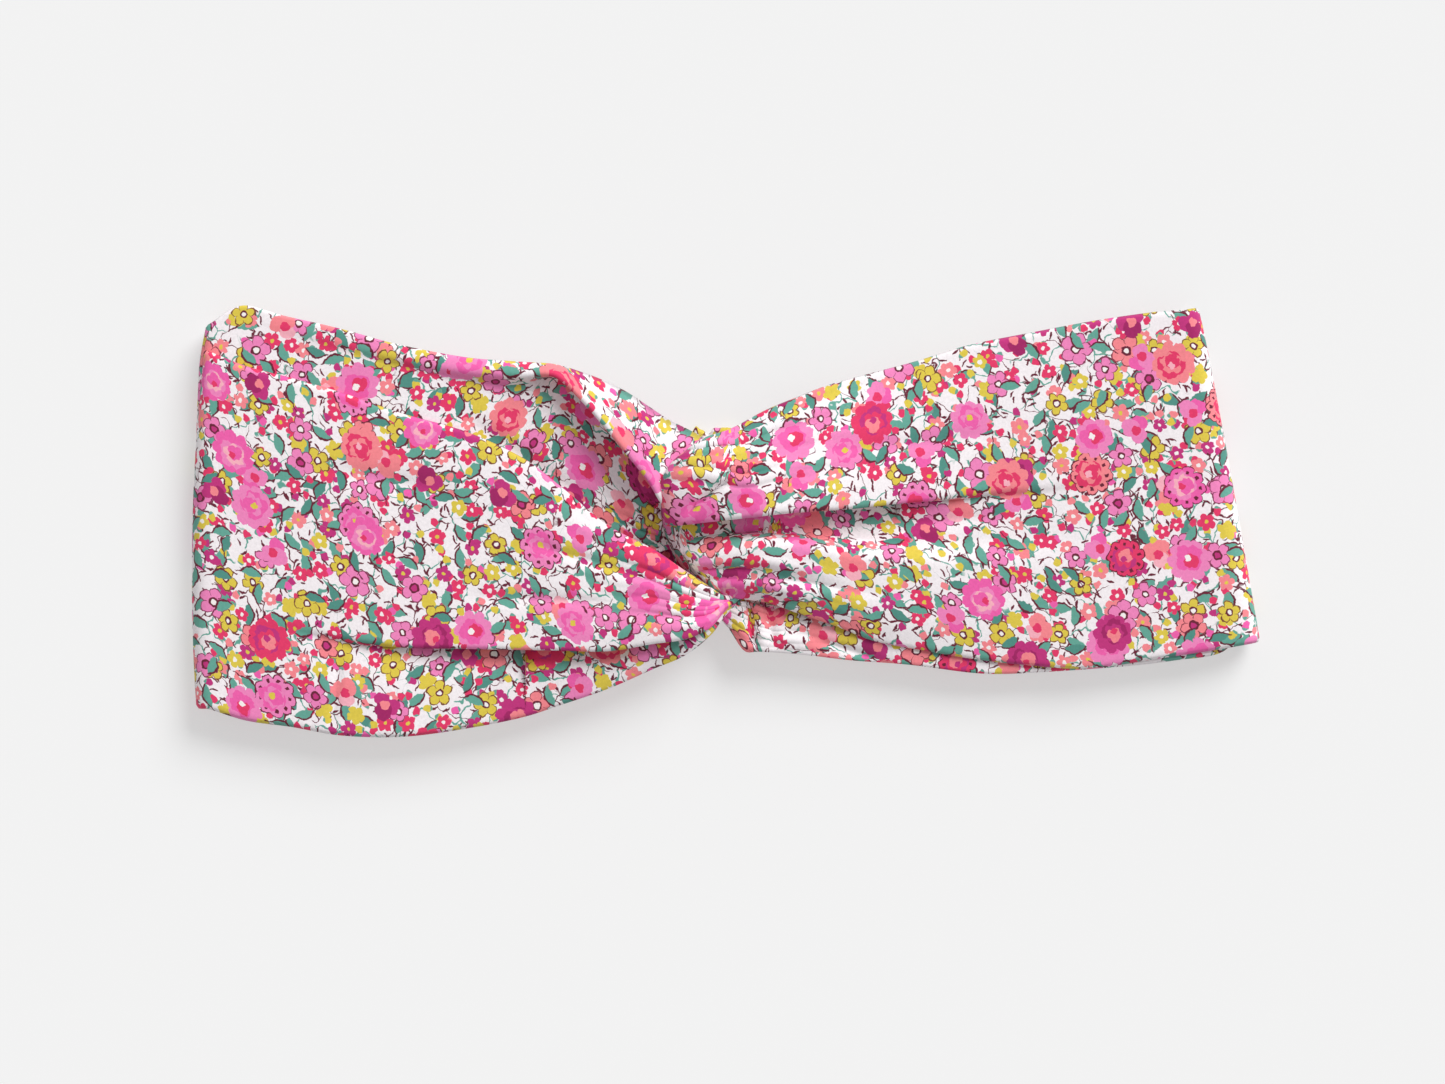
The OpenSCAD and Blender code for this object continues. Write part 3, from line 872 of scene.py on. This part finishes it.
for (name, part), piece in pieces.items():
    side, layer = name.split("_")
    if part == "Back":
        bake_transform(piece)
        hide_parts(f"{name}_back")
    if part == "Under":
        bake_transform(piece)
        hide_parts(f"{name}_side_back")
    if part == "Fold":
        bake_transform(piece)
    if part == "Over":
        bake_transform(piece)
    if part == "Bend":
        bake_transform(piece)
        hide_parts(f"{name}_side_front")
    if part == "Knot":
        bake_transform(piece)
        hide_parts(f"{name}_wing")


bightPlan = {
    "sides": 40,
    "rings": 46,
    "pleats": 7,
    "wide": 3.8,           # half its width and half its height
    "high": 1.9,
    "ripple": 0.13,        # depth of its gathers, as a share of that
    "printStep": (0.9, 1.6),
}
bightRoute = [(5, -14, 8.9), (8.6, -9, 9.4), (10, -2, 9.8), (8, 5, 9.6), (4, 9.6, 9), (-1, 11.6, 8.6)]


def bightCore(name, side):
    # the gathered middle of a tube, turned back on itself under the other side's front leg
    turned = 1 if side == "left" else -1
    route, _ = spread([[(x * turned, y * turned, z)] * 3 for x, y, z in bightRoute], bightPlan["rings"])
    middle = route[:, 0]
    heading = np.gradient(middle, axis=0)
    heading[:, 2] = 0
    heading /= np.linalg.norm(heading, axis=1, keepdims=True)
    side3 = np.stack([-heading[:, 1], heading[:, 0], np.zeros(len(heading))], axis=1)
    sides = bightPlan["sides"]
    bm = bmesh.new()
    bmesh.ops.create_grid(bm, x_segments=len(middle) - 1, y_segments=sides, size=1)
    uv = bm.loops.layers.uv.new("cloth")
    order = {vert: (round((vert.co.x + 1) / 2 * (len(middle) - 1)), round((vert.co.y + 1) / 2 * sides))
             for vert in bm.verts}
    for face in bm.faces:
        face.smooth = True
        for loop in face.loops:
            i, j = order[loop.vert]
            loop[uv].uv = (i * bightPlan["printStep"][0] * mm, j * bightPlan["printStep"][1] * mm)
    for vert, (i, j) in order.items():
        turn = 2 * math.pi * (j % sides) / sides
        ripple = 1 + bightPlan["ripple"] * math.cos(turn * bightPlan["pleats"] * 2)
        offset = side3[i] * (math.cos(turn) * bightPlan["wide"] * ripple)
        up = math.sin(turn) * bightPlan["high"] * ripple
        vert.co = Vector(middle[i] + offset + np.array([0, 0, up])) * mm
    bmesh.ops.remove_doubles(bm, verts=[v for v, place in order.items() if place[1] in (0, sides)], dist=1e-7)
    bmesh.ops.holes_fill(bm, edges=[edge for edge in bm.edges if edge.is_boundary], sides=0)
    bmesh.ops.recalc_face_normals(bm, faces=bm.faces[:])
    mesh = bpy.data.meshes.new(name)
    bm.to_mesh(mesh)
    bm.free()
    mesh.materials.append(lawn)
    piece = bpy.data.objects.new(name, mesh)
    bpy.context.scene.collection.objects.link(piece)
    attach(piece, f"knot_{side}")
    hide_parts(f"{side}_bight")
    return piece


bightCore("leftBightCore", "left")
bightCore("rightBightCore", "right")


casingPlan = {
    "half": 38,            # half its gathered length
    "flatHalf": 48,        # the same cloth pulled flat, at the elastic's full stretch
    "width": 41,
    "still": 2,            # the elastic's middle, where the casing begins to stretch
    "printFrom": 3000,
    "low": 0.1,            # height of its underside
    "high": 2.12,          # height of its upper ply along the stitches
    "gathers": 15,
    "puff": 0.85,          # how far the gathers stand up
    "underPuff": 0.2,
    "stitchRow": 18.9,     # the stitches pinch the gathers this far from the middle
    "ruffle": 0.7,         # the loose edges wander by this much
    "rows": 160,
    "columns": 60,
}


def casingHalf(name, side):
    sign = plan[side]["mirror"]
    c = casingPlan
    reach, over = np.meshgrid(np.linspace(0, c["half"], c["rows"]),
                              np.linspace(c["width"] / 2, -c["width"] / 2, c["columns"]), indexing="ij")
    wander = np.array([[noise.noise((r * 0.1, o * 0.12, 4)) for r, o in zip(*line)]
                       for line in zip(reach, over)])
    turns = (reach / (2 * c["half"]) * c["gathers"] + 0.9 * wander) * 2 * math.pi
    wave = np.sin(turns) + 0.35 * np.sin(2.3 * turns + 1)
    pinch = 1 - 0.92 * np.exp(-((np.abs(over) - c["stitchRow"]) / 1.3) ** 2)
    edge = np.clip((np.abs(over) - c["stitchRow"]) / (c["width"] / 2 - c["stitchRow"]), 0, 1)
    top = c["high"] + c["puff"] * pinch * (0.55 + 0.6 * wave) * (1 - 0.6 * edge)
    bottom = c["low"] + c["underPuff"] * pinch * (1 + np.sin(turns * 0.9 + 2))
    lift = 0.45 * edge * (1 + wave)
    points = np.stack([sign * reach, over + np.sign(over) * edge * c["ruffle"] * wave,
                       (top + bottom) / 2 + lift], axis=2)
    places = np.stack([sign * reach * c["flatHalf"] / c["half"] + c["printFrom"], over], axis=2)
    facing = np.zeros_like(points)
    facing[:, :, 2] = 1
    piece = tubeMesh(name, points, facing, places, top - bottom, lawn)
    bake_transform(piece)
    return piece


casingLeft = casingHalf("casingLeft", "left")
casingHalf("casingRight", "right")
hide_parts("casing")
print("casing gathered")


def dress(node, material):
    piece = frame["nodes"][node]
    if not piece.data.materials:
        piece.data.materials.append(material)
    for slot in piece.material_slots:
        slot.material = material


dress("elastic_strip", elasticRibbed)
dress("casing_hem_stitches", sewingThread)
for side in plan:
    dress(f"{side}_seam", lawnStrip)
    dress(f"{side}_seam_stitches", sewingThread)
    dress(f"{side}_elastic_tack", elasticRibbed)


def flatSquare(name, size, z, material):
    bm = bmesh.new()
    bmesh.ops.create_grid(bm, x_segments=1, y_segments=1, size=size / 2)
    bmesh.ops.translate(bm, verts=bm.verts[:], vec=(0, 0, z))
    mesh = bpy.data.meshes.new(name)
    bm.to_mesh(mesh)
    bm.free()
    mesh.materials.append(material)
    made = bpy.data.objects.new(name, mesh)
    bpy.context.scene.collection.objects.link(made)
    return made


tableMaterial, _, tableShader = newMaterial("paleTable")
tableShader.inputs["Base Color"].default_value = (0.44, 0.44, 0.44, 1)
tableShader.inputs["Emission Color"].default_value = (1, 1, 1, 1)
tableShader.inputs["Emission Strength"].default_value = 0.46  # a lit table, so that shadows stay faint
tableShader.inputs["Roughness"].default_value = 0.9
tableShader.inputs["Specular IOR Level"].default_value = 0.1
table = flatSquare("table", 20, cadBox[0][2] - 0.0002, tableMaterial)

lightPlan = {
    "from": (0.55, 0.75, 0.7),   # the window side: above, beyond the upper edge and to the right
    "strength": 2.9,
    "softness": 0.6,             # how wide the window looks, in radians
    "room": 0.42,                # even light from all round
}
window = bpy.data.lights.new("window", "SUN")
window.energy = lightPlan["strength"]
window.angle = lightPlan["softness"]
holder = bpy.data.objects.new("window", window)
holder.location = lightPlan["from"]
holder.rotation_euler = Vector(lightPlan["from"]).to_track_quat("Z", "Y").to_euler()
bpy.context.scene.collection.objects.link(holder)
world = bpy.data.worlds.new("paleRoom")
world.use_nodes = True
world.node_tree.nodes["Background"].inputs[0].default_value = (1, 1, 1, 1)
world.node_tree.nodes["Background"].inputs[1].default_value = lightPlan["room"]
bpy.context.scene.world = world
bpy.context.scene.view_settings.view_transform = "Standard"
print("table and lights set")
